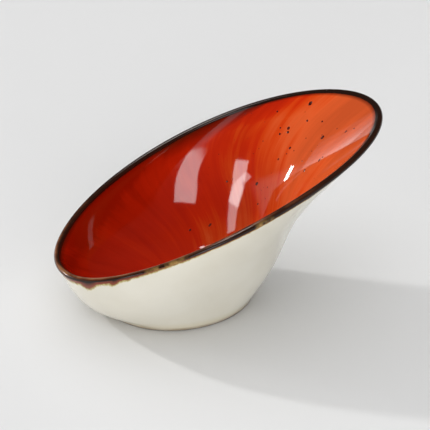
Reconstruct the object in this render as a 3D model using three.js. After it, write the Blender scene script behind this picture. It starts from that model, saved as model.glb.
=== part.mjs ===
// A slanted sauce bowl in glazed porcelain: a low rounded end, a high end that flares like a petal, and an
// oval foot. Millimetres, +Z up. X runs from the low end to the high end, and the bowl is the same on both
// sides of the XZ plane. The origin is on the table, under the middle of the bowl's length.
import * as THREE from "three";

// The mouth: where the wall's outer face ends when it is carried up to the crest of the lip.
const mouthLength = 151;
const mouthWidth = 93;
const lowEndHeight = 28;
const highEndHeight = 89;
const lowEndReach = 57.5; // from the middle of the foot to the low end, seen from above
const sideRise = 4; // the long sides bow up this far from the straight line between the two ends
const lowEndFullness = 1.2; // each side stands out this much near the low end, and draws in near the high end

// The foot is an oval ring, and the wall overhangs it a little.
const footLength = 71;
const footWidth = 56;
const footHeight = 2;
const footOverhang = 0.5;
const footRingWidth = 3.6;
const footBevel = 0.4;
const recessHeight = 1.5; // from the table to the glaze inside the foot ring

// How far the wall runs on in its own direction as it leaves the foot and as it meets the lip.
const lowBelly = new THREE.Vector2(-15, 0.7);
const lowFlare = new THREE.Vector2(-4.8, 3.1);
const highRise = new THREE.Vector2(24.5, 33);
const highFlare = new THREE.Vector2(52.5, 41.5);
const sideBelly = 4;
const sideTuck = -2.3;

// Thicknesses, each with the glaze on both faces.
const lipThickness = 2.8;
const wallThicknessAtFoot = 4.6;
const floorHeight = 6; // from the table to the middle of the inside
const glazeThickness = 0.4;

// The brown edging's reach down the wall from the foot of the round lip, and how much that wanders.
const edgingOutside = 1.4;
const edgingInside = 1.2;
const edgingWander = 0.4;
const wanderWaves = [5, 8];

// Colours, with the gloss of each surface as its roughness.
const finishes = {
  porcelain_body: { color: 0xe6dfd0, roughness: 0.6 },
  inner_glaze: { color: 0xb4361a, roughness: 0.12 },
  rim_glaze: { color: 0x3b2418, roughness: 0.22 },
  outer_glaze: { color: 0xddd8cc, roughness: 0.15 },
  underside_glaze: { color: 0xddd8cc, roughness: 0.15 },
};

// Steps of the mesh: round the bowl, up the wall, over the floor and over the lip.
const aroundSteps = 60;
const wallSteps = 9;
const floorSteps = 10;
const lipSteps = 6;

// Shares, and the small step that slopes are measured with.
const floorBlend = 0.5; // share of the wall's height where the rounded floor meets the wall
const floorFlatness = 0.55; // share of the way to the floor's corner that it leaves the middle level
const probe = 1e-3;

const up = new THREE.Vector3(0, 0, 1);
const halfFoot = new THREE.Vector2(footLength / 2, footWidth / 2);

// A side view of the wall: it leaves one point along a handle and meets the other along the second handle.
function profile(start, leaving, end, meeting) {
  return new THREE.CubicBezierCurve(start, start.clone().add(leaving), end.clone().sub(meeting), end);
}

const lowProfile = profile(
  new THREE.Vector2(-halfFoot.x - footOverhang, footHeight),
  lowBelly,
  new THREE.Vector2(-lowEndReach, lowEndHeight),
  lowFlare,
);
const highProfile = profile(
  new THREE.Vector2(halfFoot.x + footOverhang, footHeight),
  highRise,
  new THREE.Vector2(mouthLength - lowEndReach, highEndHeight),
  highFlare,
);
const sideProfile = profile(
  new THREE.Vector2(halfFoot.y + footOverhang, 0),
  new THREE.Vector2(sideBelly, 0),
  new THREE.Vector2(mouthWidth / 2, 0),
  new THREE.Vector2(sideTuck, 0),
);

// The outer face at a share of the wall's height, 0 at the foot and 1 at the lip, and at an angle round the
// bowl from the high end. Each height is one slanted oval between the low and the high profile.
function outerFace(height, angle) {
  const low = lowProfile.getPoint(height);
  const high = highProfile.getPoint(height);
  const halfWidth = sideProfile.getPoint(height).x - lowEndFullness * height * Math.cos(angle);
  const sideView = low.lerp(high, (1 + Math.cos(angle)) / 2);
  const bow = sideRise * (height * Math.sin(angle)) ** 2;
  return new THREE.Vector3(sideView.x, halfWidth * Math.sin(angle), sideView.y + bow);
}

// The direction square to a face: away from the sauce, so out of the wall and down through the floor.
function outward(face, height, angle) {
  if (height === 0 && face === innerFace) return up.clone().negate();
  const upWall = face(height + probe, angle).sub(face(height - probe, angle));
  const roundBowl = face(height, angle + probe).sub(face(height, angle - probe));
  return roundBowl.cross(upWall).normalize();
}

// The wall's inner face lies a full thickness inside the outer one, and the wall thins towards the lip.
function wallInside(height, angle) {
  const thinning = (1 - height) ** 2;
  const thickness = lipThickness + (wallThicknessAtFoot - lipThickness) * thinning;
  return outerFace(height, angle).addScaledVector(outward(outerFace, height, angle), -thickness);
}

// The whole inside: the wall, and below it a floor that is level in the middle and turns up into the wall.
function innerFace(height, angle) {
  if (height >= floorBlend) return wallInside(height, angle);
  const middle = new THREE.Vector3(0, 0, floorHeight);
  const edge = wallInside(floorBlend, angle);
  const slope = wallInside(floorBlend + probe, angle).sub(edge);
  const corner = edge.clone().addScaledVector(slope, (floorHeight - edge.z) / slope.z);
  const level = middle.clone().lerp(corner, floorFlatness);
  return new THREE.CubicBezierCurve3(middle, level, corner, edge).getPoint(height / floorBlend);
}

// The clay lies one glaze thickness under each glazed face.
function clayOutside(height, angle) {
  return outerFace(height, angle).addScaledVector(outward(outerFace, height, angle), -glazeThickness);
}

function clayInside(height, angle) {
  return innerFace(height, angle).addScaledVector(outward(innerFace, height, angle), glazeThickness);
}

// One value or point for each step round the bowl.
function around(make) {
  return Array.from({ length: aroundSteps }, (_, step) => make((2 * Math.PI * step) / aroundSteps, step));
}

// The height on a face that lies a distance below the crest, found by halving.
function heightBelowCrest(face, distance, angle) {
  const crest = face(1, angle);
  let near = 1;
  let far = floorBlend;
  for (let i = 0; i < 30; i++) {
    const middle = (near + far) / 2;
    if (face(middle, angle).distanceTo(crest) < distance) near = middle;
    else far = middle;
  }
  return near;
}

// The edging's two borders wander in and out a little, the same on both sides of the bowl.
function wander(angle) {
  const waves = wanderWaves.map((count) => Math.cos(count * angle));
  return (edgingWander * waves.reduce((sum, wave) => sum + wave)) / waves.length;
}

// For each step round the bowl, the height where the lip begins, and the edging's outer and inner border.
const lipRadius = lipThickness / 2;
const lipStart = around((angle) => heightBelowCrest(outerFace, lipRadius, angle));
const outerBorder = around((angle) => {
  return heightBelowCrest(outerFace, lipRadius + edgingOutside + wander(angle), angle);
});
const innerBorder = around((angle) => {
  return heightBelowCrest(innerFace, lipRadius + edgingInside - wander(angle), angle);
});

// The round lip, from the outer face (turn 0) over the crest to the inner face (turn 1), at a depth in the
// glaze.
function lip(turn, depth, angle, step) {
  const base = outerFace(lipStart[step], angle);
  const out = outward(outerFace, lipStart[step], angle);
  const roundBowl = outerFace(lipStart[step], angle + probe).sub(base);
  const crest = out.clone().cross(roundBowl).normalize();
  const radius = lipRadius - depth;
  const bend = Math.PI * turn;
  return base
    .addScaledVector(out, radius * Math.cos(bend) - lipRadius)
    .addScaledVector(crest, radius * Math.sin(bend));
}

// Rings up the wall, from the foot to the edging's border.
function wallRings(face) {
  return stepped(0, wallSteps, (share) => around((angle, step) => face(share * outerBorder[step], angle)));
}

// Rings over the inside, from the middle of the floor to the edging's border.
function insideRings(face) {
  const floor = stepped(1, floorSteps, (share) => around((angle) => face(share * floorBlend, angle)));
  const wall = stepped(1, wallSteps, (share) =>
    around((angle, step) => face(THREE.MathUtils.lerp(floorBlend, innerBorder[step], share), angle)),
  );
  return [[face(0, 0)], ...floor, ...wall];
}

function lipRings(depth) {
  return stepped(0, lipSteps, (turn) => around((angle, step) => lip(turn, depth, angle, step)));
}

// An oval of the foot, drawn in from its outer edge, at a height over the table.
function footRing(inset, height) {
  return around((angle) => new THREE.Vector3(
    (halfFoot.x - inset) * Math.cos(angle),
    (halfFoot.y - inset) * Math.sin(angle),
    height,
  ));
}

function stepped(first, last, make) {
  return Array.from({ length: last - first + 1 }, (_, i) => make((first + i) / last));
}

// A closed solid over rings of points. The rings go up its outside and down its inside. A ring of one point
// closes an end, and where neither end is one, the last ring joins the first.
function solid(name, rings) {
  const firstOf = [];
  rings.reduce((count, ring) => {
    firstOf.push(count);
    return count + ring.length;
  }, 0);
  const points = rings.flat();
  const closed = rings[0].length === 1;
  const index = [];
  rings.forEach((ring, i) => {
    if (closed && i === rings.length - 1) return;
    const next = (i + 1) % rings.length;
    for (let step = 0; step < aroundSteps; step++) {
      const after = (step + 1) % aroundSteps;
      const a = firstOf[i] + (step % ring.length);
      const b = firstOf[i] + (after % ring.length);
      const c = firstOf[next] + (after % rings[next].length);
      const d = firstOf[next] + (step % rings[next].length);
      index.push(...facesOf(points, a, b, c, d));
    }
  });
  const geometry = new THREE.BufferGeometry().setFromPoints(points).setIndex(index);
  geometry.computeVertexNormals();
  const mesh = new THREE.Mesh(geometry, new THREE.MeshStandardMaterial({ ...finishes[name], metalness: 0 }));
  mesh.name = name;
  return mesh;
}

// Two triangles over four corners, split along the shorter way across, so that two layers that touch are
// split alike. Where two corners are the same point, one triangle is left.
function facesOf(points, a, b, c, d) {
  if (a === b) return [a, c, d];
  if (c === d) return [a, b, c];
  const shortWay = points[a].distanceTo(points[c]) < points[b].distanceTo(points[d]);
  return shortWay ? [a, b, c, a, c, d] : [a, b, d, b, c, d];
}

// The clay: from the middle of the underside round the foot ring, up the wall, over the lip and down inside.
function porcelainBody() {
  const ceiling = recessHeight + glazeThickness;
  const innerEdge = footRingWidth;
  return solid("porcelain_body", [
    [new THREE.Vector3(0, 0, ceiling)],
    footRing(innerEdge, ceiling),
    footRing(innerEdge, recessHeight),
    footRing(innerEdge, footBevel),
    footRing(innerEdge - footBevel, 0),
    footRing(footBevel, 0),
    footRing(0, footBevel),
    footRing(0, footHeight),
    ...wallRings(clayOutside),
    ...lipRings(glazeThickness),
    ...insideRings(clayInside).reverse(),
  ]);
}

// The ivory skin of the outside stops just above the foot, which stays bare.
function outerGlaze() {
  return solid("outer_glaze", [...wallRings(outerFace), ...wallRings(clayOutside).reverse()]);
}

// The brown edging over the lip, butted against the ivory outside and the red inside.
function rimGlaze() {
  const outside = wallRings(outerFace).at(-1);
  const inside = insideRings(innerFace).at(-1);
  const outsideClay = wallRings(clayOutside).at(-1);
  const insideClay = insideRings(clayInside).at(-1);
  return solid("rim_glaze", [
    outside,
    ...lipRings(0),
    inside,
    insideClay,
    ...lipRings(glazeThickness).reverse(),
    outsideClay,
  ]);
}

// The red lining.
function innerGlaze() {
  return solid("inner_glaze", [...insideRings(clayInside), ...insideRings(innerFace).reverse()]);
}

// The ivory patch inside the foot ring.
function undersideGlaze() {
  const ceiling = recessHeight + glazeThickness;
  return solid("underside_glaze", [
    [new THREE.Vector3(0, 0, recessHeight)],
    footRing(footRingWidth, recessHeight),
    footRing(footRingWidth, ceiling),
    [new THREE.Vector3(0, 0, ceiling)],
  ]);
}

const bowl = new THREE.Group();
bowl.add(porcelainBody(), innerGlaze(), rimGlaze(), outerGlaze(), undersideGlaze());
bowl.position.x = -new THREE.Box3().setFromObject(bowl).getCenter(new THREE.Vector3()).x;

export default bowl;
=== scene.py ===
# %% [markdown]
# # A slanted sauce bowl in glazed porcelain
#
# The bowl is one fired piece: a thin clay shell on an oval foot, cut on a slant, with a low rounded end and a
# high end that flares like a petal. Over the clay lie four areas of glaze: ivory outside, red to orange
# inside, a brown iron edging over the lip and an ivory patch under the foot. This lesson makes each of them
# as a skin of its own with Geometry Nodes, gives each a finish made of shader nodes, and lights and frames
# the bowl.

import math
import random

import bpy
from mathutils import Matrix, Vector
from mathutils.bvhtree import BVHTree


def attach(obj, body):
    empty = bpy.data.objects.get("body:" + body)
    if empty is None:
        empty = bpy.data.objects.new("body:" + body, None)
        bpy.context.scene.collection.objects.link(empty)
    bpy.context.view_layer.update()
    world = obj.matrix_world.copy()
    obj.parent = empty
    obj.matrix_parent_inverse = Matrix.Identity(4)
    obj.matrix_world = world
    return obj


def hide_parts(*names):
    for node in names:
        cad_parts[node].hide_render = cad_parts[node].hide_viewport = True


MM = 0.001  # Blender counts in metres
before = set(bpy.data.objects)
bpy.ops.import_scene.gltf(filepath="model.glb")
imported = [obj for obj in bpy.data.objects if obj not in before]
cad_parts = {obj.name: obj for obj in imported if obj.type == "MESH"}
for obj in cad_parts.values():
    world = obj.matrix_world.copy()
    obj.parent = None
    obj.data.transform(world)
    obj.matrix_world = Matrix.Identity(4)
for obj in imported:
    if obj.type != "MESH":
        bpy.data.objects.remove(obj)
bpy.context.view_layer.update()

# %% [markdown]
# ## Helpers
#
# Every tree below, of shapes or of finishes, is built by one function that adds a node, sets what belongs to
# it and links what feeds it. The kinds of node that come up most have short names, some of them with their
# operation. Inputs are given by name, or as a list in the node's own order. A Map Range node, for one, takes
# a value, the two ends of the range that it comes in, and the two ends of the range that it is stretched
# to, 0 and 1 unless they are given. Colours are written as sRGB hex values, as a painter would look them
# up, and one function turns them into the linear values that a renderer counts in.


# %% Add a node, and read a colour
MATH, VECTOR_MATH, MAP_RANGE = "ShaderNodeMath", "ShaderNodeVectorMath", "ShaderNodeMapRange"
MIX, RAMP, NOISE, BUMP = "ShaderNodeMix", "ShaderNodeValToRGB", "ShaderNodeTexNoise", "ShaderNodeBump"
COMBINE, SEPARATE = "ShaderNodeCombineXYZ", "ShaderNodeSeparateXYZ"
GROUP, RESULT = "GeometryNodeGroup", "NodeGroupOutput"
PLUS, MINUS, TIMES, DIVIDED, TIMES_PLUS, POWER, COSINE, SINE = [
    (MATH, {"operation": operation})
    for operation in ("ADD", "SUBTRACT", "MULTIPLY", "DIVIDE", "MULTIPLY_ADD", "POWER", "COSINE", "SINE")
]
MIX_POINTS, MIX_COLOURS = (MIX, {"data_type": "VECTOR"}), (MIX, {"data_type": "RGBA"})
NODE_SPACING = 170


def first_output(node):
    """The output that a node gives by itself."""
    return next(socket for socket in node.outputs if socket.enabled)


def add(tree, kind, inputs=(), stops=(), **settings):
    """Adds one node. Its inputs take values, nodes or sockets, and the stops are those of a colour ramp."""
    kind, usual = kind if isinstance(kind, tuple) else (kind, {})
    node = tree.nodes.new(kind)
    node.location.x = NODE_SPACING * len(tree.nodes)
    for name, value in {**usual, **settings}.items():
        setattr(node, name, value)
    for key, value in inputs.items() if isinstance(inputs, dict) else enumerate(inputs):
        named = (socket for socket in node.inputs if socket.enabled and socket.name == key)
        socket = node.inputs[key] if isinstance(key, int) else next(named)
        if isinstance(value, bpy.types.Node):
            value = first_output(value)
        if isinstance(value, bpy.types.NodeSocket):
            tree.links.new(value, socket)
        else:
            socket.default_value = value
    if stops:
        elements = node.color_ramp.elements
        while len(elements) < len(stops):
            elements.new(0.5)
        for element, (position, hex_value) in zip(elements, stops):
            element.position, element.color = position, colour(hex_value)
    return node


def tell(name, tree):
    """Prints how many nodes a tree has."""
    print(name, "takes", len(tree.nodes), "nodes")


def colour(hex_value):
    """An sRGB hex value as linear red, green, blue and alpha."""
    shares = [int(hex_value[i : i + 2], 16) / 255 for i in (0, 2, 4)]
    return (*[s / 12.92 if s <= 0.04045 else ((s + 0.055) / 1.055) ** 2.4 for s in shares], 1.0)


print("ivory as linear light:", [round(c, 3) for c in colour("dcd5c6")])

# %% [markdown]
# ## The camera
#
# The camera looks down on the bowl from the front, a little to the left of square. Its angles, its distance
# and its narrow lens are those under which the outline of the bowl falls where it does in the photograph.
# Angles are measured as in the rest of the frame: elevation above the table, azimuth round the vertical axis.

# %% Place the camera
foot_middle = -18.0704 * MM  # along X from the frame's origin, which is under the middle of the length
camera_elevation = math.radians(34.274)
camera_azimuth = math.radians(-11.475)
camera_roll = math.radians(-0.408)
camera_view = math.radians(18.283)
camera_distance = 612.9 * MM
aim_height = 30 * MM
aim_right, aim_up = 17.199 * MM, 12.033 * MM
nearest, farthest = 0.01, 100  # metres, between which the camera sees

sine, cosine = math.sin(camera_azimuth), math.cos(camera_azimuth)
level = math.cos(camera_elevation)
back = Vector((sine * level, -cosine * level, math.sin(camera_elevation)))
level_right = Vector((cosine, sine, 0))
right = math.cos(camera_roll) * level_right + math.sin(camera_roll) * back.cross(level_right)
upward = back.cross(right)
camera_data = bpy.data.cameras.new("camera")
camera_data.angle = camera_view
camera_data.clip_start, camera_data.clip_end = nearest, farthest
camera = bpy.data.objects.new("camera", camera_data)
bpy.context.collection.objects.link(camera)
bpy.context.scene.camera = camera
aim = Vector((foot_middle, 0, aim_height)) + aim_right * right + aim_up * upward
turned = Matrix((right, upward, back)).transposed().to_4x4()
camera.matrix_world = Matrix.Translation(aim + camera_distance * back) @ turned
print("the camera stands at", [round(c, 3) for c in camera.matrix_world.translation])

# %% [markdown]
# ## The wall's rule
#
# A potter's eye reads this bowl as two side views: the short S of the low end and the long, leaning S of the
# high end. Every level line between them is a slanted oval. So the whole wall follows one rule: blend the two
# side views by the cosine of the angle round the bowl, and swing the half width by its sine. It could be
# sculpted, or skinned over a few rails, but a rule keeps the wall as thick, as smooth and as symmetrical as a
# slip-cast one. All sizes are in millimetres, with the origin at the middle of the foot.

# %% Sizes of the wall
wall_sizes = {  # along the bowl, half width, height over the table
    "Low end at the foot": (-36.0, 28.5, 2.0),
    "Low end's belly": (-51.0, 32.5, 2.7),
    "Low end's flare": (-52.7, 48.3, 24.9),
    "Low end's lip": (-57.5, 46.5, 28.0),
    "High end at the foot": (36.0, 28.5, 2.0),
    "High end's rise": (60.5, 32.5, 35.0),
    "High end's flare": (41.0, 48.3, 47.5),
    "High end's lip": (93.5, 46.5, 89.0),
    "Side rise": 4.0,  # the long sides bow up this far from the straight line between the ends
    "Low end fullness": 1.2,  # each side stands out this much more near the low end
}
lip_sizes = {**wall_sizes, "Lip thickness": 2.8}
faced_sizes = {**lip_sizes, "Wall thickness at the foot": 4.6}
skin_sizes = {
    **faced_sizes,
    "Floor height": 6.0,  # from the table to the middle of the inside
    "Floor blend": 0.5,  # share of the wall's height where the rounded floor meets the wall
    "Floor flatness": 0.55,
}
mouth_length = wall_sizes["High end's lip"][0] - wall_sizes["Low end's lip"][0]
print("the mouth is", mouth_length, "mm long before the lip is rounded")

# %% Open a tree, and hand sizes on to the trees inside it
POINT, NUMBER = "NodeSocketVector", "NodeSocketFloat"


def open_tree(name, sizes, results):
    """A Geometry Nodes tree with these named inputs and outputs, and the sockets that give its inputs."""
    tree = bpy.data.node_groups.new(name, "GeometryNodeTree")
    kinds = {tuple: POINT, float: NUMBER, int: "NodeSocketInt"}
    for label, value in sizes.items():
        socket = tree.interface.new_socket(label, in_out="INPUT", socket_type=kinds.get(type(value), value))
        if type(value) in kinds:
            socket.default_value = value
    for label, kind in results.items():
        tree.interface.new_socket(label, in_out="OUTPUT", socket_type=kind)
    return tree, add(tree, "NodeGroupInput").outputs


def handed_on(given, sizes):
    """The inputs that have the names of these sizes."""
    return {name: given[name] for name in sizes}


def bezier(tree, share, handles):
    """The point at a share of a Bezier curve, by blending neighbours until one point is left."""
    while len(handles) > 1:
        handles = [
            add(tree, MIX_POINTS, {"Factor": share, "A": a, "B": b}, clamp_factor=False)
            for a, b in zip(handles, handles[1:])
        ]
    return handles[0]


# %% The oval of the wall at a height and an angle
oval, given = open_tree("Oval wall", {"Height": 0.0, "Angle": 0.0, **wall_sizes}, {"Position": POINT})
cosine = add(oval, COSINE, [given["Angle"]])
sine = add(oval, SINE, [given["Angle"]])
share = add(oval, TIMES_PLUS, [cosine, 0.5, 0.5])
names = list(wall_sizes)
handles = [
    add(oval, MIX_POINTS, {"Factor": share, "A": given[low], "B": given[high]})
    for low, high in zip(names[:4], names[4:8])
]
side_view = add(oval, SEPARATE, [bezier(oval, given["Height"], handles)]).outputs
lean = add(oval, TIMES, [given["Height"], cosine])
fullness = add(oval, TIMES, [lean, given["Low end fullness"]])
half_width = add(oval, MINUS, [side_view["Y"], fullness])
across = add(oval, TIMES, [half_width, sine])
swing = add(oval, TIMES, [given["Height"], sine])
squared = add(oval, TIMES, [swing, swing])
level = add(oval, TIMES_PLUS, [squared, given["Side rise"], side_view["Z"]])
add(oval, RESULT, {"Position": add(oval, COMBINE, [side_view["X"], across, level])})
tell("the oval wall", oval)

# %% [markdown]
# ## A wall with two faces and a round lip
#
# The oval is only the outer face. The wall's other places are found from it along two directions: square out
# of the wall, and up towards the crest. `Turn` walks round the lip, from 0 on the outer face over the crest
# to 1 on the inner face, and `Depth` sinks below the glaze to the clay. One formula then serves every skin of
# the bowl.

# %% A point of the wall, from its height, angle, turn and depth
own = {"Height": 0.0, "Angle": 0.0, "Turn": 0.0, "Depth": 0.0}
wall, given = open_tree("Wall point", {**own, **faced_sizes}, {"Position": POINT})
step = 0.001  # of height or angle, over which the wall's slope is felt
shape = handed_on(given, wall_sizes)
height, angle = given["Height"], given["Angle"]
higher = add(wall, PLUS, [height, step])
further = add(wall, PLUS, [angle, step])
here, above, beside = [
    add(wall, GROUP, {**shape, "Height": up, "Angle": turned}, node_tree=oval)
    for up, turned in ((height, angle), (higher, angle), (height, further))
]
rise = add(wall, VECTOR_MATH, [above, here], operation="SUBTRACT")
round_bowl = add(wall, VECTOR_MATH, [beside, here], operation="SUBTRACT")
square = add(wall, VECTOR_MATH, [round_bowl, rise], operation="CROSS_PRODUCT")
outward = add(wall, VECTOR_MATH, [square], operation="NORMALIZE")
ahead = add(wall, VECTOR_MATH, [outward, round_bowl], operation="CROSS_PRODUCT")
crestward = add(wall, VECTOR_MATH, [ahead], operation="NORMALIZE")
lip_thickness = given["Lip thickness"]
below = add(wall, MINUS, [1.0, height])
thinning = add(wall, TIMES, [below, below])
extra = add(wall, MINUS, [given["Wall thickness at the foot"], lip_thickness])
thickness = add(wall, TIMES_PLUS, [extra, thinning, lip_thickness])
half = add(wall, TIMES, [thickness, 0.5])
radius = add(wall, MINUS, [half, given["Depth"]])
bend = add(wall, TIMES, [given["Turn"], math.pi])
swung = add(wall, TIMES, [radius, add(wall, COSINE, [bend])])
raised = add(wall, TIMES, [radius, add(wall, SINE, [bend])])
inset = add(wall, MINUS, [swung, half])
sideways = add(wall, VECTOR_MATH, {0: outward, "Scale": inset}, operation="SCALE")
upwards = add(wall, VECTOR_MATH, {0: crestward, "Scale": raised}, operation="SCALE")
moved = add(wall, VECTOR_MATH, [here, sideways], operation="ADD")
add(wall, RESULT, {"Position": add(wall, VECTOR_MATH, [moved, upwards], operation="ADD")})
tell("a wall point", wall)

# %% [markdown]
# ## One walk over the whole skin
#
# `Walk` counts the zones of the skin, so that each skin of the bowl is a stretch of one walk: 0 is the middle
# of the floor, 1 the place where the rounded floor meets the wall, 2 the inner foot of the lip, 3 its outer
# foot and 4 the foot of the bowl. The lip starts one lip radius below the crest, measured along the wall,
# which is why the wall's rise per share of its height is worked out first. The floor is a Bezier curve from
# the level middle up into the slope of the wall.

# %% Where the lip starts, and the length of the wall under it
FLOOR_EDGE, LIP_INSIDE, LIP_OUTSIDE, FOOT = 1.0, 2.0, 3.0, 4.0  # places on the walk
probe = 0.05  # share of the height, just under the crest, that is measured
results = {"Height": NUMBER, "Wall length": NUMBER}
lip_start, given = open_tree("Lip start", {"Angle": 0.0, **lip_sizes}, results)
shape = {**handed_on(given, wall_sizes), "Angle": given["Angle"]}
crest, under = [
    add(lip_start, GROUP, {**shape, "Height": height}, node_tree=oval) for height in (1.0, 1.0 - probe)
]
apart = add(lip_start, VECTOR_MATH, [crest, under], operation="DISTANCE").outputs["Value"]
length = add(lip_start, DIVIDED, [apart, probe])
radius = add(lip_start, TIMES, [given["Lip thickness"], 0.5])
drop = add(lip_start, DIVIDED, [radius, length])
start = add(lip_start, MINUS, [1.0, drop])
add(lip_start, RESULT, {"Height": start, "Wall length": length})
tell("the lip's start", lip_start)

# %% The skin at a walk, an angle and a depth
own = {"Walk": 0.0, "Angle": 0.0, "Depth": 0.0}
skin, given = open_tree("Skin point", {**own, **skin_sizes}, {"Position": POINT, "Height": NUMBER})
walk, angle, depth, blend = given["Walk"], given["Angle"], given["Depth"], given["Floor blend"]
shape = {**handed_on(given, lip_sizes), "Angle": angle}
start = add(skin, GROUP, shape, node_tree=lip_start).outputs["Height"]
past_floor = add(skin, MINUS, [walk, FLOOR_EDGE])
inner_height = add(skin, MIX, {"Factor": past_floor, "A": blend, "B": start}, clamp_factor=False)
to_foot = add(skin, MINUS, [FOOT, walk])
outer_height = add(skin, TIMES, [to_foot, start])
lower = add(skin, MATH, [inner_height, outer_height], operation="MINIMUM")
height = add(skin, MATH, [lower, start], operation="MINIMUM")
turn = add(skin, MINUS, [LIP_OUTSIDE, walk], use_clamp=True)
shape = {**handed_on(given, faced_sizes), "Angle": angle, "Depth": depth}
on_wall = add(skin, GROUP, {**shape, "Height": height, "Turn": turn}, node_tree=wall)
past_blend = add(skin, PLUS, [blend, step])
edge, past_edge = [
    add(skin, GROUP, {**shape, "Height": at, "Turn": 1.0}, node_tree=wall) for at in (blend, past_blend)
]
slope = add(skin, VECTOR_MATH, [past_edge, edge], operation="SUBTRACT")
slope_up = add(skin, SEPARATE, [slope]).outputs["Z"]
edge_up = add(skin, SEPARATE, [edge]).outputs["Z"]
floor_level = add(skin, MINUS, [given["Floor height"], depth])
fall = add(skin, MINUS, [floor_level, edge_up])
reach = add(skin, DIVIDED, [fall, slope_up])
down = add(skin, VECTOR_MATH, {0: slope, "Scale": reach}, operation="SCALE")
corner = add(skin, VECTOR_MATH, [edge, down], operation="ADD")
middle = add(skin, COMBINE, {"Z": floor_level})
level = add(skin, MIX_POINTS, {"Factor": given["Floor flatness"], "A": middle, "B": corner})
rounded = bezier(skin, walk, [middle, level, corner, edge])
on_floor = add(skin, MATH, [walk, FLOOR_EDGE], operation="LESS_THAN")
place = add(skin, MIX_POINTS, {"Factor": on_floor, "A": on_wall, "B": rounded})
over_floor = add(skin, TIMES, [walk, blend])
share = add(skin, MIX, {"Factor": on_floor, "A": height, "B": over_floor})
add(skin, RESULT, {"Position": place, "Height": share})
tell("the skin", skin)

# %% [markdown]
# ## Where the brown edging ends
#
# A band brushed by hand is never quite even. Its two borders wander in and out in slow waves, with a finer
# unevenness on top, and in a few places the iron has run down the ivory outside, as a thick wash does in the
# kiln. A border is moved along the walk by that many millimetres.

# %% The border of a skin
iron_runs = ((214.0, 5.0, 1.7), (227.5, 2.4, 1.2), (298.0, 3.0, 0.6))  # degrees round, half width, mm down
run_roundness = 1.5
slow_waves = (5.0, 8.0)  # in one turn round the bowl
rag_scale = 14.0  # on a circle of radius 1, so about 4 mm at the mouth
border_sizes = {
    "Walk": LIP_INSIDE,
    "Reach": 0.0,  # how far the edging comes down the wall from the lip's foot
    "Wander": 0.0,  # how far the border swings in slow waves
    "Raggedness": 0.0,  # and in small uneven ones
    "Runs": 0.0,  # 1 where the runs show, which is outside
    "High end excess": 0.0,  # share by which the reach is larger at the high end, and smaller at the low end
}
edge_sizes = {**lip_sizes, "Floor blend": skin_sizes["Floor blend"], "Angle": 0.0}
results = {"Walk": NUMBER, "Zone length": NUMBER}
border, given = open_tree("Border", {**border_sizes, **edge_sizes}, results)
angle = given["Angle"]
found = add(border, GROUP, {**handed_on(given, lip_sizes), "Angle": angle}, node_tree=lip_start).outputs
swing = 0.0
for count in slow_waves:
    times = add(border, TIMES, [angle, count])
    wave = add(border, COSINE, [times])
    swing = add(border, TIMES_PLUS, [wave, 1 / len(slow_waves), swing])
cosine = add(border, COSINE, [angle])
sine = add(border, SINE, [angle])
wider = add(border, TIMES_PLUS, [cosine, given["High end excess"], 1.0])
reach = add(border, TIMES, [wider, given["Reach"]])
reach = add(border, TIMES_PLUS, [swing, given["Wander"], reach])
circle = add(border, COMBINE, [cosine, sine, given["Walk"]])
uneven = add(border, NOISE, {"Vector": circle, "Scale": rag_scale, "Detail": 2.0, "Roughness": 0.6})
centred = add(border, MINUS, [uneven, 0.5])
reach = add(border, TIMES_PLUS, [centred, given["Raggedness"], reach])
for at, half_width, run in iron_runs:
    gap = add(border, MINUS, [angle, math.radians(at)])
    spread = add(border, DIVIDED, [gap, math.radians(half_width)])
    parabola = add(border, TIMES, [spread, spread])
    crown = add(border, MINUS, [1.0, parabola], use_clamp=True)
    rounded = add(border, POWER, [crown, run_roundness])
    shown = add(border, TIMES, [rounded, given["Runs"]])
    reach = add(border, TIMES_PLUS, [shown, run, reach])
inside = add(border, MINUS, [LIP_OUTSIDE, given["Walk"]], use_clamp=True)
floor_share = add(border, TIMES, [inside, given["Floor blend"]])
wall_share = add(border, MINUS, [found["Height"], floor_share])
zone = add(border, TIMES, [found["Wall length"], wall_share])
shift = add(border, DIVIDED, [reach, zone])
walk = add(border, PLUS, [given["Walk"], shift])
add(border, RESULT, {"Walk": walk, "Zone length": zone})
tell("a border", border)

# %% [markdown]
# ## A layer of glaze
#
# Glaze is glass with a thickness of its own. A layer is made from one flat grid: its columns run out along
# the glazed face, turn down through the glaze, and come back along the clay, and its rows go once round the
# bowl. Pressed onto the skin and with its doubles merged, the grid becomes one closed body. Each corner of it
# keeps two notes for its finish: `place`, its direction round the bowl and its share of the wall's height,
# and `edge`, the millimetres to its first and its last border, and the walk.

# %% Helpers for the trees of layers and clay
steps_round, glaze_thickness = 360, 0.4
weld = 0.001 * MM  # corners that are closer than this are one
sharp_from = math.radians(40)
mesh_socket, finish_socket = {"Geometry": "NodeSocketGeometry"}, {"Material": "NodeSocketMaterial"}


def flat_grid(tree, columns, given):
    """A unit grid, with the column number of each corner and its angle round the bowl."""
    rows = add(tree, PLUS, [given["Steps round"], 1.0])
    sizes = {"Size X": 1.0, "Size Y": 1.0, "Vertices X": columns, "Vertices Y": rows}
    grid = add(tree, "GeometryNodeMeshGrid", sizes)
    corner = add(tree, SEPARATE, [add(tree, "GeometryNodeInputPosition")]).outputs
    along = add(tree, PLUS, [corner["X"], 0.5])
    gaps = add(tree, MINUS, [columns, 1.0])
    column = add(tree, TIMES, [along, gaps])
    turned = add(tree, PLUS, [corner["Y"], 0.5])
    return grid, column, add(tree, TIMES, [turned, 2 * math.pi])


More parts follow.
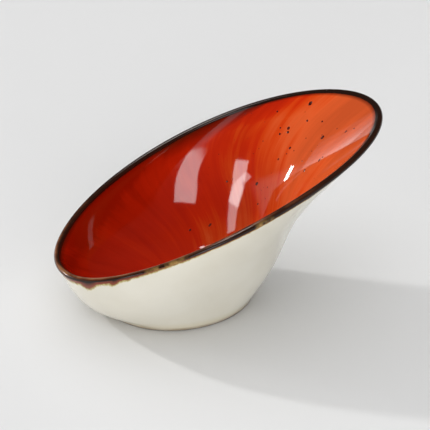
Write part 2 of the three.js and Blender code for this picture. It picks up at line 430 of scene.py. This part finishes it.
def noted(tree, mesh, angle, height, edge):
    """The mesh with the notes that its finish reads."""
    cosine = add(tree, COSINE, [angle])
    sine = add(tree, SINE, [angle])
    place = add(tree, COMBINE, [cosine, sine, height])
    for name, value in (("place", place), ("edge", edge)):
        kept = {"Geometry": mesh, "Name": name, "Value": value}
        mesh = add(tree, "GeometryNodeStoreNamedAttribute", kept, data_type="FLOAT_VECTOR", domain="POINT")
    return mesh


def end_tree(tree, mesh, given):
    """Ends a tree with its mesh smooth, real and in its finish."""
    mesh = add(tree, "GeometryNodeSetShadeSmooth", [mesh])
    mesh = add(tree, "GeometryNodeRealizeInstances", [mesh])
    mesh = add(tree, "GeometryNodeSetMaterial", {"Geometry": mesh, "Material": given["Material"]})
    add(tree, RESULT, {"Geometry": mesh})
    tell(tree.name, tree)


def pressed(tree, mesh, position, given):
    """Ends a tree with its mesh moved to a position in millimetres, closed, and sharp at its borders."""
    shifted = add(tree, VECTOR_MATH, [position, given["Origin"]], operation="ADD")
    metres = add(tree, VECTOR_MATH, {0: shifted, "Scale": MM}, operation="SCALE")
    mesh = add(tree, "GeometryNodeSetPosition", {"Geometry": mesh, "Position": metres})
    mesh = add(tree, "GeometryNodeMergeByDistance", {"Geometry": mesh, "Distance": weld})
    bend = add(tree, "GeometryNodeInputMeshEdgeAngle")
    sharp = add(tree, "FunctionNodeCompare", [bend, sharp_from], operation="GREATER_THAN")
    kept = {"Geometry": mesh, "Name": "sharp_edge", "Value": sharp}
    mesh = add(tree, "GeometryNodeStoreNamedAttribute", kept, data_type="BOOLEAN", domain="EDGE")
    end_tree(tree, mesh, given)


print("a grid has", steps_round, "steps round the bowl")

# %% The tree of a glaze layer
origin = {"Origin": (foot_middle / MM, 0.0, 0.0)}
layer_sizes = {
    "Steps along": 60,
    "Steps round": steps_round,
    "Glaze thickness": glaze_thickness,
    **{f"{end} {name.lower()}": value for end in ("Start", "End") for name, value in border_sizes.items()},
    **skin_sizes,
    **origin,
}
layer, given = open_tree("Glaze layer", {**mesh_socket, **layer_sizes, **finish_socket}, mesh_socket)
steps = given["Steps along"]
columns = add(layer, TIMES_PLUS, [steps, 2.0, 3.0])  # out, down, back and closed
grid, column, angle = flat_grid(layer, columns, given)
shape = {**handed_on(given, skin_sizes), "Angle": angle}
borders = []
for end in ("Start", "End"):
    sizes = {name: given[f"{end} {name.lower()}"] for name in border_sizes}
    sizes.update((name, shape[name]) for name in edge_sizes)
    borders.append(add(layer, GROUP, sizes, node_tree=border).outputs)
first, last = borders
out = add(layer, DIVIDED, [column, steps], use_clamp=True)
over = add(layer, MINUS, [column, steps])
past = add(layer, MINUS, [over, 1.0])
home = add(layer, DIVIDED, [past, steps], use_clamp=True)
share = add(layer, MINUS, [out, home])
walk = add(layer, MIX, {"Factor": share, "A": first["Walk"], "B": last["Walk"]})
sinking = add(layer, "ShaderNodeClamp", [over])
closing = add(layer, MINUS, [past, steps], use_clamp=True)
sunk = add(layer, MINUS, [sinking, closing])
depth = add(layer, TIMES, [sunk, given["Glaze thickness"]])
point = add(layer, GROUP, {**shape, "Walk": walk, "Depth": depth}, node_tree=skin).outputs
from_start = add(layer, MINUS, [walk, first["Walk"]])
to_end = add(layer, MINUS, [last["Walk"], walk])
start_gap = add(layer, TIMES, [from_start, first["Zone length"]])
end_gap = add(layer, TIMES, [to_end, last["Zone length"]])
edge = add(layer, COMBINE, [start_gap, end_gap, walk])
pressed(layer, noted(layer, grid, angle, point["Height"], edge), point["Position"], given)

# %% [markdown]
# ## The clay
#
# The fired body is the same grid again, at the clay's depth all the way: from the middle of the floor up the
# inside, over the lip and down to the foot. There it goes on over the oval foot ring, whose corners were
# rounded with a wet sponge, and in to the middle of the underside. The glaze under the foot is a thin pool
# between the ring's inner side and that underside.

# %% The rings of the oval foot
foot_sizes = {"Foot length": 71.0, "Foot width": 56.0}
sponged = 0.4  # radius of the foot ring's corners
ring_width = 3.6
ceiling = 1.9  # height of the clay inside the ring
arc = [(1 - math.cos(math.radians(t)), 1 - math.sin(math.radians(t))) for t in (0, 22.5, 45, 67.5, 90)]
foot_profile = [(0.0, 2.0, 1.0)]  # how far in from the foot's outer edge, the height, and 0 at the middle
foot_profile += [(sponged * a, sponged * b, 1.0) for a, b in arc]
foot_profile += [(ring_width - sponged * a, sponged * b, 1.0) for a, b in reversed(arc)]
foot_profile += [(ring_width, ceiling, 1.0), (12.0, ceiling, 1.0), (0.0, ceiling, 0.0)]


def on_foot(tree, column, angle, given, profile):
    """The place of a corner on the rings of a profile, one ring for each column."""
    number = add(tree, "FunctionNodeFloatToInt", [column], rounding_mode="ROUND")
    chosen = add(tree, "GeometryNodeIndexSwitch", data_type="VECTOR")
    for _ in profile[2:]:
        chosen.index_switch_items.new()
    tree.links.new(first_output(number), chosen.inputs[0])
    for socket, row in zip(list(chosen.inputs)[1:], profile):
        socket.default_value = row
    ring = add(tree, SEPARATE, [chosen]).outputs
    sides = []
    for size, swing in (("Foot length", COSINE), ("Foot width", SINE)):
        half = add(tree, TIMES, [given[size], 0.5])
        drawn_in = add(tree, MINUS, [half, ring["X"]])
        gathered = add(tree, TIMES, [drawn_in, ring["Z"]])
        turned = add(tree, swing, [angle])
        sides.append(add(tree, TIMES, [gathered, turned]))
    return add(tree, COMBINE, [*sides, ring["Y"]])


print("the foot has", len(foot_profile), "rings")

# %% The tree of the clay
clay_sizes = {
    "Steps along": 120,
    "Steps round": steps_round,
    "Clay depth": glaze_thickness,
    **foot_sizes,
    **skin_sizes,
    **origin,
}
clay, given = open_tree("Clay body", {**mesh_socket, **clay_sizes, **finish_socket}, mesh_socket)
steps = given["Steps along"]
columns = add(clay, PLUS, [steps, 1.0 + len(foot_profile)])
grid, column, angle = flat_grid(clay, columns, given)
share = add(clay, DIVIDED, [column, steps], use_clamp=True)
walk = add(clay, TIMES, [share, FOOT])
shape = {**handed_on(given, skin_sizes), "Angle": angle, "Depth": given["Clay depth"]}
point = add(clay, GROUP, {**shape, "Walk": walk}, node_tree=skin).outputs
over = add(clay, MINUS, [column, steps])
ring = add(clay, MINUS, [over, 1.0])
foot = on_foot(clay, ring, angle, given, foot_profile)
below = add(clay, MATH, [over, 0.5], operation="GREATER_THAN")
place = add(clay, MIX_POINTS, {"Factor": below, "A": point["Position"], "B": foot})
pressed(clay, grid, place, given)

# %% The tree of the glaze under the foot
pool_profile = [  # the glaze is thinner in the middle and pools in the corner against the ring
    (0.0, 1.58, 0.0),
    (14.0, 1.55, 1.0),
    (8.0, 1.5, 1.0),
    (5.4, 1.42, 1.0),
    (4.6, 1.3, 1.0),
    (4.1, 1.12, 1.0),
    (3.8, 0.92, 1.0),
    (ring_width, 0.7, 1.0),
    (ring_width, ceiling, 1.0),
    (0.0, ceiling, 0.0),
]
pool_sizes = {"Steps round": steps_round, **foot_sizes, **origin}
pool, given = open_tree("Glaze under the foot", {**mesh_socket, **pool_sizes, **finish_socket}, mesh_socket)
columns = add(pool, "FunctionNodeInputInt", integer=len(pool_profile))
grid, column, angle = flat_grid(pool, columns, given)
place = on_foot(pool, column, angle, given, pool_profile)
turned_down = add(pool, "GeometryNodeFlipFaces", [grid.outputs["Mesh"]])
edge = add(pool, COMBINE, {"X": column})  # no edging is near, so the ring's number stands for the distance
pressed(pool, noted(pool, turned_down, angle, 0.0, edge), place, given)

# %% [markdown]
# ## The finishes
#
# Every finish here is a glass or the clay under it. Glaze is a thin coloured glass melted onto clay, with an
# index of refraction near 1.5, so nearly all of its look is the colour below a clear, slightly wavy gloss.
# The notes `place` and `edge` let a pattern run with the surface: round the bowl, up the wall, or in from a
# border. The size of each pattern is written in millimetres.


# %% Start a finish, and coat it
def start_finish(name, look):
    """A material and its tree. What is the same all over is set on the shader's own sockets."""
    material = bpy.data.materials.new(name)
    material.use_nodes = True
    for socket, value in look.items():
        material.node_tree.nodes["Principled BSDF"].inputs[socket].default_value = value
    return material, material.node_tree


def note(tree, name):
    """One of the two notes that a corner keeps."""
    return add(tree, "ShaderNodeAttribute", attribute_name=name).outputs["Vector"]


def spot_on(tree):
    """The spot of the surface, in metres."""
    return add(tree, "ShaderNodeTexCoord").outputs["Object"]


def coat(material, **sockets):
    """Feeds nodes to the colour and the bump of a finish."""
    tree = material.node_tree
    for name, node in sockets.items():
        socket = tree.nodes["Principled BSDF"].inputs[{"tint": "Base Color", "relief": "Normal"}[name]]
        tree.links.new(first_output(node), socket)
    tell(material.name, tree)


glass_ior = 1.5
mirrored = 100 * ((glass_ior - 1) / (glass_ior + 1)) ** 2
print("seen from straight ahead, a glaze mirrors", round(mirrored, 1), "% of the light")

# %% [markdown]
# ### Fired red glaze
#
# A selenium or iron red, brushed on and fired glossy. Where it pools in the low end it is a deep blood red,
# and where it thins on the high wall it turns orange. The brush and the run of the melt leave streaks that
# follow the wall from the floor to the lip, about 30, 9 and 2.4 mm wide at the mouth. Under the far lip the
# red is darkened as painted shade, where the far rim shades the wall. Next to the edging some of the iron
# has bled in; under the far lip that dark band is widened as painted shade.

# %% Fired red glaze
red, tree = start_finish("fired red glaze", {"Roughness": 0.05, "IOR": glass_ior})
place, spot = note(tree, "place"), spot_on(tree)
to_edging = add(tree, SEPARATE, [note(tree, "edge")]).outputs["Y"]
along, _, height = add(tree, SEPARATE, [spot]).outputs
mouth_round = 390.0  # millimetres once round the mouth
streaks = ((30.0, 1.3, 0.5), (9.0, 2.2, 0.36), (2.4, 2.6, 0.22))  # mm wide, changes up the wall, weight
# painted shade: the far side, under whose lip the red is darkened where the far rim shades the wall
shaded_side = (0.12, 0.993, 0.0)  # direction round the bowl
wave_size = 11.11 * MM
pooled = add(tree, MAP_RANGE, [height, 15 * MM, 30 * MM, 0.0, -24 * MM])
downhill = add(tree, PLUS, [along, pooled])
drained = add(tree, MAP_RANGE, [downhill, -70 * MM, 45 * MM])
fallen = add(tree, MAP_RANGE, [height, 4 * MM, 88 * MM, 1.0, 0.0])
lag = add(tree, POWER, [fallen, 2.5])  # radians that a streak turns on its way down
swept = add(tree, "ShaderNodeVectorRotate", {"Vector": place, "Angle": lag}, rotation_type="Z_AXIS")
drift = 0.0
for width, changes, weight in streaks:
    round_share = mouth_round / width / (2 * math.pi)
    stretch = add(tree, VECTOR_MATH, [swept, (round_share, round_share, changes)], operation="MULTIPLY")
    streak = add(tree, NOISE, {"Vector": stretch, "Scale": 1.0, "Detail": 3.0, "Distortion": 0.6})
    centred = add(tree, MINUS, [streak, 0.5])
    drift = add(tree, TIMES_PLUS, [centred, weight, drift])
up_the_skin = add(tree, SEPARATE, [place]).outputs["Z"]
brushed = add(tree, MAP_RANGE, [up_the_skin, 0.0, 0.35, 0.15, 1.0])  # hardly on the floor
thinness_and_shade = add(tree, TIMES_PLUS, [drift, brushed, drained])
toward_shaded = add(tree, VECTOR_MATH, [place, shaded_side], operation="DOT_PRODUCT").outputs["Value"]
# painted shade: the red within 18 mm of the edging is darkened towards the far side
far_lip_shade = add(tree, MAP_RANGE, [toward_shaded, 0.3, 0.9, 0.0, -0.32])
under_the_lip = add(tree, MAP_RANGE, [to_edging, 0.0, 18.0, 1.0, 0.0])
thinness_and_shade = add(tree, TIMES_PLUS, [far_lip_shade, under_the_lip, thinness_and_shade])
thick_to_thin = (
    (0.0, "8e1401"), (0.12, "a41b03"), (0.35, "b52106"), (0.52, "c42a06"),
    (0.61, "cd410f"), (0.75, "d45829"), (1.0, "bb4c23"),
)
glass = add(tree, RAMP, [thinness_and_shade], stops=thick_to_thin)
# the iron that bled in is real within about 2 mm of the edging; under the far lip it reaches about 20 mm as
# painted shade
bleed_and_shade_width = add(tree, MAP_RANGE, [toward_shaded, 0.93, 1.0, 1.6, 17.0])
bleed_and_shade_depth = add(tree, DIVIDED, [to_edging, bleed_and_shade_width])
bleed_and_shade = add(tree, MAP_RANGE, [bleed_and_shade_depth, 0.0, 1.2, 0.85, 0.0])
stain_and_shade = add(tree, MIX_COLOURS, {"Factor": bleed_and_shade, "A": glass, "B": colour("4a1206")})
waves = add(tree, NOISE, {"Vector": spot, "Scale": 1 / wave_size, "Detail": 1.0})
ripple = add(tree, BUMP, {"Strength": 0.35, "Distance": 0.06 * MM, "Height": waves})
coat(red, tint=stain_and_shade, relief=ripple)

# %% [markdown]
# ### Iron edging
#
# A wash of iron oxide painted over the lip. Thick, it fires almost black; where the melt thinned over the
# crest it breaks to rust, most of all on the near side of the low end, and in two places to gold. Its burnt
# skin mirrors less than clear glass.

# %% Iron edging
iron_look = {"Roughness": 0.14, "IOR": 1.55, "Specular IOR Level": 0.27}
iron, tree = start_finish("iron edging glaze", iron_look)
place, spot = note(tree, "place"), spot_on(tree)
_, to_ivory, walk = add(tree, SEPARATE, [note(tree, "edge")]).outputs
patch_size = 7.143 * MM
worn_side = (-0.8, -0.6, 0.0)  # direction round the bowl
gold_breaks = ((247.0, 8.0), (280.0, 3.5))  # degrees round the bowl, half width
patches = add(tree, NOISE, {"Vector": spot, "Scale": 1 / patch_size, "Detail": 3.0})
from_crest = add(tree, MINUS, [walk, (LIP_INSIDE + LIP_OUTSIDE) / 2])
from_crest = add(tree, MATH, [from_crest], operation="ABSOLUTE")
thin = add(tree, MAP_RANGE, [from_crest, 0.05, 0.42, 0.6, 0.0])
toward_worn = add(tree, VECTOR_MATH, [place, worn_side], operation="DOT_PRODUCT").outputs["Value"]
wear = add(tree, MAP_RANGE, [toward_worn, 0.0, 0.75, 0.25, 1.15])
thin = add(tree, TIMES, [thin, wear])
broken = add(tree, TIMES, [patches, thin])
black_to_rust = ((0.0, "20110b"), (0.13, "341b10"), (0.25, "5e3520"), (0.36, "835638"))
rust = add(tree, RAMP, [broken], stops=black_to_rust)
outside = add(tree, MAP_RANGE, [walk, 2.6, LIP_OUTSIDE])
frayed = add(tree, MAP_RANGE, [to_ivory, 0.3, 2.4, 1.0, 0.0])
frayed = add(tree, TIMES, [frayed, outside])
reddened = add(tree, MIX_COLOURS, {"Factor": frayed, "A": rust, "B": colour("84402f")})
gold = 0.0
for at, half_width in gold_breaks:
    to_break = (math.cos(math.radians(at)), math.sin(math.radians(at)), 0.0)
    toward = add(tree, VECTOR_MATH, [place, to_break], operation="DOT_PRODUCT").outputs["Value"]
    rim, heart = [math.cos(math.radians(share * half_width)) for share in (1.0, 0.5)]
    gold = add(tree, MATH, [add(tree, MAP_RANGE, [toward, rim, heart]), gold], operation="MAXIMUM")
mottle = add(tree, MAP_RANGE, [patches, 0.36, 0.52])
gold = add(tree, TIMES, [gold, mottle])
gold = add(tree, TIMES, [gold, outside])
gilt = add(tree, MIX_COLOURS, {"Factor": gold, "A": reddened, "B": colour("b08a4e")})
ripple = add(tree, BUMP, {"Strength": 0.4, "Distance": 0.08 * MM, "Height": patches})
coat(iron, tint=gilt, relief=ripple)

# %% [markdown]
# ### Ivory glaze
#
# A clear glaze over cream porcelain, poured over the outside and under the foot. It is even, a little warm,
# and where the iron ran into it, it has a halo that goes from rust through olive to yellow.

# %% Ivory glaze
ivory, tree = start_finish("ivory clear glaze", {"Roughness": 0.14, "IOR": glass_ior})
spot = spot_on(tree)
height = add(tree, SEPARATE, [spot]).outputs["Z"]
from_edging = add(tree, SEPARATE, [note(tree, "edge")]).outputs["X"]
cloud_size, crumb_size, wave_size = 22.22 * MM, 2.381 * MM, 14.29 * MM
cloud = add(tree, NOISE, {"Vector": spot, "Scale": 1 / cloud_size, "Detail": 3.0})
cream = add(tree, RAMP, [cloud], stops=((0.3, "dcd7c8"), (0.7, "e2ded1")))
ragged = add(tree, NOISE, {"Vector": spot, "Scale": 1 / crumb_size, "Detail": 3.0})
crumble = add(tree, TIMES_PLUS, [ragged, 2.4, -1.2])
reach = add(tree, PLUS, [from_edging, crumble])
rust_to_cream = ((0.0, "5e2f1e"), (0.3, "8f6238"), (0.55, "b9ac72"), (0.8, "d5ceb1"), (1.0, "dfd9cb"))
halo = add(tree, RAMP, [add(tree, MAP_RANGE, [reach, -0.6, 1.8])], stops=rust_to_cream)
near = add(tree, MAP_RANGE, [reach, 0.9, 1.8, 1.0, 0.0])
dyed = add(tree, MIX_COLOURS, {"Factor": near, "A": cream, "B": halo})
low = add(tree, MAP_RANGE, [height, 2 * MM, 6 * MM, 0.5, 0.0])
footed = add(tree, MIX_COLOURS, {"Factor": low, "A": dyed, "B": colour("cfc4a4")})
waves = add(tree, NOISE, {"Vector": spot, "Scale": 1 / wave_size, "Detail": 1.0})
ripple = add(tree, BUMP, {"Strength": 0.3, "Distance": 0.06 * MM, "Height": waves})
coat(ivory, tint=footed, relief=ripple)

# %% [markdown]
# ### Bare porcelain
#
# The foot ring is wiped clean before firing, so that it doesn't stick to the kiln shelf. It comes out a matt,
# faintly grainy cream, toasted a little at its corners, and it turns dark grey towards the very bottom.

# %% Bare porcelain
bare, tree = start_finish("bare fired porcelain", {"Roughness": 0.62, "IOR": glass_ior})
spot = spot_on(tree)
height = add(tree, SEPARATE, [spot]).outputs["Z"]
grain_size, toast_size = 0.714 * MM, 9.09 * MM
grain = add(tree, NOISE, {"Vector": spot, "Scale": 1 / grain_size, "Detail": 2.0})
toast = add(tree, NOISE, {"Vector": spot, "Scale": 1 / toast_size, "Detail": 3.0})
cream = add(tree, RAMP, [toast], stops=((0.3, "d9cfbc"), (0.7, "c2b296")))
# dark grey over the lowest millimetre of the ring
bottom_grey = add(tree, MAP_RANGE, [height, 0.0, 1.1 * MM, 0.95, 0.2])
greyed_at_bottom = add(tree, MIX_COLOURS, {"Factor": bottom_grey, "A": cream, "B": colour("3f3831")})
tooth = add(tree, BUMP, {"Strength": 0.5, "Distance": 0.03 * MM, "Height": grain})
coat(bare, tint=greyed_at_bottom, relief=tooth)

# %% [markdown]
# ## The pieces
#
# A modifier grows each piece from its tree, and the result becomes a plain mesh. The edging reaches about
# 1 mm in and out from the lip, a little less at the low end and more at the high one. Each glaze begins where
# its neighbour ends, so both read the same border, and what looks like one continuous skin is three bodies
# that meet edge to edge.


# %% Grow the pieces
def grow(name, tree, finish, sizes, seed=None):
    """A plain mesh at the origin, from a tree whose named inputs take these sizes."""
    piece = bpy.data.objects.new(name, seed or bpy.data.meshes.new(name))
    bpy.context.collection.objects.link(piece)
    modifier = piece.modifiers.new("shape", "NODES")
    modifier.node_group = tree
    wanted = {"Material": finish, **sizes}
    for item in tree.interface.items_tree:
        if item.in_out == "INPUT" and item.name in wanted:
            modifier[item.identifier] = wanted.pop(item.name)
    assert not wanted, wanted
    depsgraph = bpy.context.evaluated_depsgraph_get()
    final = piece.evaluated_get(depsgraph)
    plain = bpy.data.meshes.new_from_object(final, preserve_all_data_layers=True, depsgraph=depsgraph)
    piece.modifiers.remove(modifier)
    piece.data = plain
    plain.name = name
    heights = [round(v.co.z / MM, 2) for v in plain.vertices]
    print(name, len(plain.polygons), "faces, from", min(heights), "to", max(heights), "mm high")
    return piece


def between(start, end, steps):
    """The inputs of a glaze layer from one border to another."""
    sizes = {f"Start {name}": value for name, value in start.items()}
    sizes.update({f"End {name}": value for name, value in end.items()})
    return {**sizes, "Steps along": steps}


middle, foot_end = {"walk": 0.0}, {"walk": FOOT}
edging_inside = {
    "walk": LIP_INSIDE,
    "reach": -0.95,
    "wander": 0.25,
    "raggedness": 0.25,
    "high end excess": 0.45,
}
edging_outside = {
    "walk": LIP_OUTSIDE,
    "reach": 1.1,
    "wander": 0.3,
    "raggedness": 0.45,
    "runs": 1.0,
    "high end excess": 0.4,
}
pieces = {
    "red_lining": (layer, red, between(middle, edging_inside, 72), "inner_glaze", "red_glaze"),
    "iron_edging": (layer, iron, between(edging_inside, edging_outside, 24), "rim_glaze", "iron_glaze"),
    "ivory_outside": (layer, ivory, between(edging_outside, foot_end, 48), "outer_glaze", "ivory_glaze"),
    "ivory_underside": (pool, ivory, {}, "underside_glaze", "ivory_glaze"),
    "fired_body": (clay, bare, {}, "porcelain_body", "bare_porcelain"),
}
grown = {}
for name, (tree, finish, sizes, node, slot) in pieces.items():
    piece = grown[name] = grow(name, tree, finish, sizes)
    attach(piece, "root")
    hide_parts(node)

# %% [markdown]
# ## Iron specks
#
# Grains of iron in the clay melt through the glaze and leave dark, slightly raised freckles, most of them on
# the high wall. A texture could paint them, but then they would have no thickness. So each is a thin lens of
# a few dozen faces that Geometry Nodes set on a point and turn to the surface. The larger ones are cast from
# the camera onto the lining, each through its place in the picture as read off it; the fine ones fall at
# random from over the mouth.

# %% Where the specks lie
lining = grown["red_lining"].data
surface = BVHTree.FromPolygons([v.co for v in lining.vertices], [p.vertices[:] for p in lining.polygons])
picture_width = 430  # pixels
view_reach = math.tan(camera_data.angle / 2)
widening = 1.3  # the widths as read proved this much too small in the render
seen_specks = (  # right and down in the picture, width in millimetres, length over width
    (310.3, 103.4, 1.25, 1.5), (307.2, 120.7, 0.85, 1.0), (322.2, 121.5, 0.75, 1.0),
    (277.3, 111.5, 0.7, 1.0), (288.5, 128.2, 1.15, 1.2), (287.9, 132.2, 0.95, 1.1),
    (279.8, 134.0, 0.8, 1.1), (280.4, 127.9, 0.6, 1.0), (322.5, 137.3, 1.2, 1.4),
    (322.0, 135.0, 0.5, 1.0), (345.9, 131.5, 0.7, 1.9), (354.1, 128.4, 0.7, 1.0),
    (289.9, 148.0, 0.9, 1.3), (293.9, 150.6, 0.45, 1.0), (286.5, 153.8, 0.5, 1.0),
    (278.3, 159.2, 0.65, 1.4), (322.6, 157.1, 0.6, 1.2), (319.2, 160.2, 0.75, 1.8),
    (304.4, 170.4, 0.8, 1.6), (302.0, 161.0, 0.45, 1.0), (256.8, 183.7, 0.95, 1.6),
    (227.0, 181.5, 0.8, 1.1), (257.8, 204.0, 0.55, 1.4), (210.0, 225.0, 0.75, 2.2),
    (190.0, 230.0, 0.65, 1.8), (306.0, 138.2, 0.4, 1.3), (337.0, 128.7, 0.4, 1.5),
    (263.0, 141.0, 0.4, 1.0),
)
specks = []
for x, y, wide, long_over_wide in seen_specks:
    half = picture_width / 2
    ray = view_reach * (right * (x / half - 1) + upward * (1 - y / half)) - back
    spot, facing = surface.ray_cast(camera.matrix_world.translation, ray.normalized())[:2]
    specks.append((spot, facing, widening * wide, long_over_wide))
fine_rays = 70
over_the_mouth = Vector((-25, 0, 75)) * MM
chance = random.Random(12)
for _ in range(fine_rays):
    ray = Vector((chance.uniform(0.35, 1.0), chance.uniform(-0.8, 0.8), chance.uniform(-0.6, 0.16)))
    spot, facing = surface.ray_cast(over_the_mouth, ray.normalized())[:2]
    if spot is not None and facing.dot(ray) < 0:
        specks.append((spot, facing, chance.uniform(0.2, 0.42), chance.uniform(1.0, 1.6)))
speck_points = bpy.data.meshes.new("speck points")
speck_points.from_pydata([spot for spot, *_ in specks], [], [])
speck_notes = (("facing", "FLOAT_VECTOR", "vector"), ("wide", "FLOAT", "value"), ("long", "FLOAT", "value"))
for column, (label, kind, field) in enumerate(speck_notes, start=1):
    attribute = speck_points.attributes.new(label, kind, "POINT")
    for item, speck in zip(attribute.data, specks):
        setattr(item, field, speck[column])
print(len(seen_specks), "specks from the picture,", len(specks) - len(seen_specks), "fine ones at random")

# %% A tree that sets a grain on every point
ALIGN = "FunctionNodeAlignRotationToVector"
drawn_out = (0.6, 0.0, 0.8)  # the way that the melt stretched the grains
grain_sizes = {**mesh_socket, "Thickness over width": 0.11, **finish_socket}
grains, given = open_tree("Iron specks", grain_sizes, mesh_socket)
lens = add(grains, "GeometryNodeMeshUVSphere", {"Segments": 10, "Rings": 6, "Radius": 0.5 * MM})
shape = add(grains, COMBINE, [1.0, 1.0, given["Thickness over width"]])
lens = add(grains, "GeometryNodeTransform", {"Geometry": lens, "Scale": shape})
facing, wide, long = [
    add(grains, "GeometryNodeInputNamedAttribute", {"Name": label}, data_type=kind)
    for label, kind, _ in speck_notes
]
uphill = add(grains, ALIGN, {"Vector": drawn_out}, axis="Y")
stand = add(grains, ALIGN, {"Rotation": uphill, "Vector": facing}, axis="Z")
drawn = add(grains, TIMES, [wide, long])
scale = add(grains, COMBINE, [wide, drawn, wide])
set_down = {"Points": given["Geometry"], "Instance": lens, "Rotation": stand, "Scale": scale}
end_tree(grains, add(grains, "GeometryNodeInstanceOnPoints", set_down), given)

# %% [markdown]
# The grains are burnt iron that the glaze has wetted: almost black in the middle of a big one, and rusty
# brown where the grain is small or thin.

# %% Burnt iron, and the specks
burnt, tree = start_finish("burnt iron speck", {"Roughness": 0.22, "IOR": 1.55})
burn_size = 1.538 * MM
spot = spot_on(tree)
burn = add(tree, NOISE, {"Vector": spot, "Scale": 1 / burn_size, "Detail": 2.0})
coat(burnt, tint=add(tree, RAMP, [burn], stops=((0.35, "2a0b05"), (0.65, "5c1a09"))))
iron_specks = grow("iron_specks", grains, burnt, {}, seed=speck_points)
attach(iron_specks, "root")

# %% [markdown]
# ## Floor and light
#
# The bowl stands on plain pale paper in a daylit room. What lights paper and bowl evenly are suns: a low key
# from the upper left, which draws the shadow, and three wide fills. They are left out of reflections, as a
# photographer would flag them off a glossy pot. What the glazes mirror are soft boxes, each placed by the
# direction that it comes from, azimuth round from +X and elevation, and by the spot of the bowl that shows
# it: the key's own glint, a wide window on the left, a narrow one at the side, a light over the low lip and a
# far window behind. The curved wall mirrors a far box twice, so the upper half of the narrow window is a card
# 70 mm from the wall, whose second image falls within the first window's. The pale foot of the room all round
# shows along the rims.

# %% The floor
floor_reach = 40  # metres, so that no view sees its end
corners = [(x * floor_reach, y * floor_reach, 0) for x, y in ((-1, -1), (1, -1), (1, 1), (-1, 1))]
floor_mesh = bpy.data.meshes.new("floor")
floor_mesh.from_pydata(corners, [], [(0, 1, 2, 3)])
floor = bpy.data.objects.new("floor", floor_mesh)
bpy.context.collection.objects.link(floor)
paper_look = {"Roughness": 0.7, "IOR": 1.4, "Base Color": colour("e1e1e1")}
paper, _ = start_finish("plain pale paper", paper_look)
floor_mesh.materials.append(paper)
print("the floor is", 2 * floor_reach, "m wide")


# %% The lights
def toward(azimuth, elevation):
    """The direction to a light."""
    turn, lift = math.radians(azimuth), math.radians(elevation)
    return Vector((math.cos(turn) * math.cos(lift), math.sin(turn) * math.cos(lift), math.sin(lift)))


def sky(name, azimuth, elevation, width, strength):
    """Light from one direction, the same all over the floor, so many degrees wide and never mirrored."""
    data = bpy.data.lights.new(name, "SUN")
    data.angle, data.energy = math.radians(width), strength
    light = bpy.data.objects.new(name, data)
    light.rotation_euler = toward(azimuth, elevation).to_track_quat("Z", "Y").to_euler()
    light.visible_glossy = False
    bpy.context.collection.objects.link(light)
    print(name, "is", width, "degrees wide")


def softbox(name, azimuth, elevation, width, height, radiance, aim, lean=0, diffuse=True, distance=2.0):
    """A rectangle of light that the glazes mirror: its direction and size in degrees, seen from its aim."""
    away = toward(azimuth, elevation)
    data = bpy.data.lights.new(name, "AREA")
    data.shape = "RECTANGLE"
    data.size = 2 * distance * math.tan(math.radians(width / 2))
    data.size_y = 2 * distance * math.tan(math.radians(height / 2))
    data.energy = radiance * math.pi * data.size * data.size_y
    light = bpy.data.objects.new(name, data)
    light.location = Vector(aim) + distance * away
    turned = away.to_track_quat("Z", "Y").to_matrix() @ Matrix.Rotation(math.radians(lean), 3, "Z")
    light.rotation_euler = turned.to_euler()
    light.visible_camera, light.visible_diffuse = False, diffuse
    bpy.context.collection.objects.link(light)
    print(name, round(data.size, 2), "by", round(data.size_y, 2), "m,", round(data.energy, 1), "W")


sky("key", 143, 29.7, 3.2, 0.96)
sky("top fill", 90, 80, 80, 1.87)
sky("front fill", -75, 27, 50, 1.06)
sky("low fill", -165, 13, 24, 0.43)
softbox("key in the glaze", 150.5, 5.5, 4.2, 10.0, 45, aim=(0.037, 0.0105, 0.053))
panes, pane_width = 6, 2.5
for pane in range(panes):  # the wall of the bowl shows a slanted window, so its sill climbs pane by pane
    share = pane / (panes - 1)
    azimuth, sill, head = -104.0 - 12.5 * share, 2.5 + 8.3 * share, 20 + 0.5 * share
    name, elevation = f"left window, pane {pane}", (sill + head) / 2
    softbox(name, azimuth, elevation, pane_width, head - sill, 5.5, aim=(-0.006, 0.038, 0.038))
softbox("side window", -150.8, 12.2, 11.5, 7.4, 7, aim=(0.018, 0.029, 0.043))
card_aim, card_distance = (0.0113, 0.02, 0.0238), 70 * MM
softbox("side window, card", -156.3, 24.4, 5.2, 13.7, 5, card_aim, 45, diffuse=False, distance=card_distance)
softbox("rim light", 180, 64, 24, 10, 12, aim=(0, 0, 0.04), diffuse=False)
for sill, head, radiance in ((-2, 8, 1.2), (8, 12, 0.9), (12, 16, 0.6), (16, 20, 0.3)):  # blurred upward
    name, elevation = f"far window from {sill} degrees up", (sill + head) / 2
    softbox(name, 120, elevation, 30, head - sill, radiance, aim=(0.055, 0, 0.075), diffuse=False)

# %% The room
world = bpy.data.worlds.new("pale room")
bpy.context.scene.world = world
world.use_nodes = True
tree = world.node_tree
direction = add(tree, "ShaderNodeTexCoord").outputs["Generated"]
across = add(tree, SEPARATE, [direction]).outputs
behind = add(tree, MAP_RANGE, [across["Y"], -0.3, 0.4, 0.7, 1.0])
lift = add(tree, DIVIDED, [across["Z"], behind])
foot_to_top = ((0.0, "f2f2f2"), (0.09, "e6e6e6"), (0.2, "4c4c4c"), (0.5, "3a3a3a"))
room = add(tree, RAMP, [lift], stops=foot_to_top)
room.color_ramp.interpolation = "EASE"
tree.links.new(first_output(room), tree.nodes["Background"].inputs["Color"])
bpy.context.scene.view_settings.view_transform = "Standard"
tell("the room", tree)
